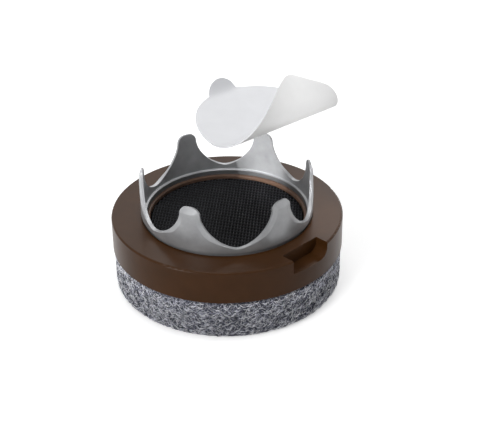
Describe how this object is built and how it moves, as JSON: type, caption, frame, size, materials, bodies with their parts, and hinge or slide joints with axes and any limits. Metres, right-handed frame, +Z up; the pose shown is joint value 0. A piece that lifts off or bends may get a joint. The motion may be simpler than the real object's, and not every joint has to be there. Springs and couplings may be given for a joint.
{
  "type": "felt furniture slider",
  "caption": "Round felt slider with a plastic housing, a steel ring of claws, a sticky grip pad and the pad's peeled-off release liner.",
  "frame": {"origin": "on the floor under the middle of the felt disc", "axes": "+Z up along the slider's axis, from the felt to the claws; the pry notch points to 46 degrees from +X towards -Y"},
  "size_m": [0.027, 0.027, 0.026],
  "materials": {
    "felt": "speckled needle felt",
    "felt_film": "dull adhesive film",
    "brown_plastic": "satin moulded plastic",
    "steel": "satin, bright cut edges",
    "pad_film": "dull adhesive film",
    "grip": "black, finely ribbed both ways",
    "liner_paper": "smooth coated paper"
  },
  "bodies": {
    "slider": {"felt_pad": "felt", "felt_adhesive": "felt_film", "housing": "brown_plastic", "crown_ring": "steel", "grip_adhesive": "pad_film", "grip_pad": "grip"},
    "liner": {"release_liner": "liner_paper"}
  },
  "joints": [
    {"name": "liner_off", "type": "slide", "parent": "slider", "child": "liner", "axis": [0, 0, 1], "range_m": [0, 0.02]}
  ]
}
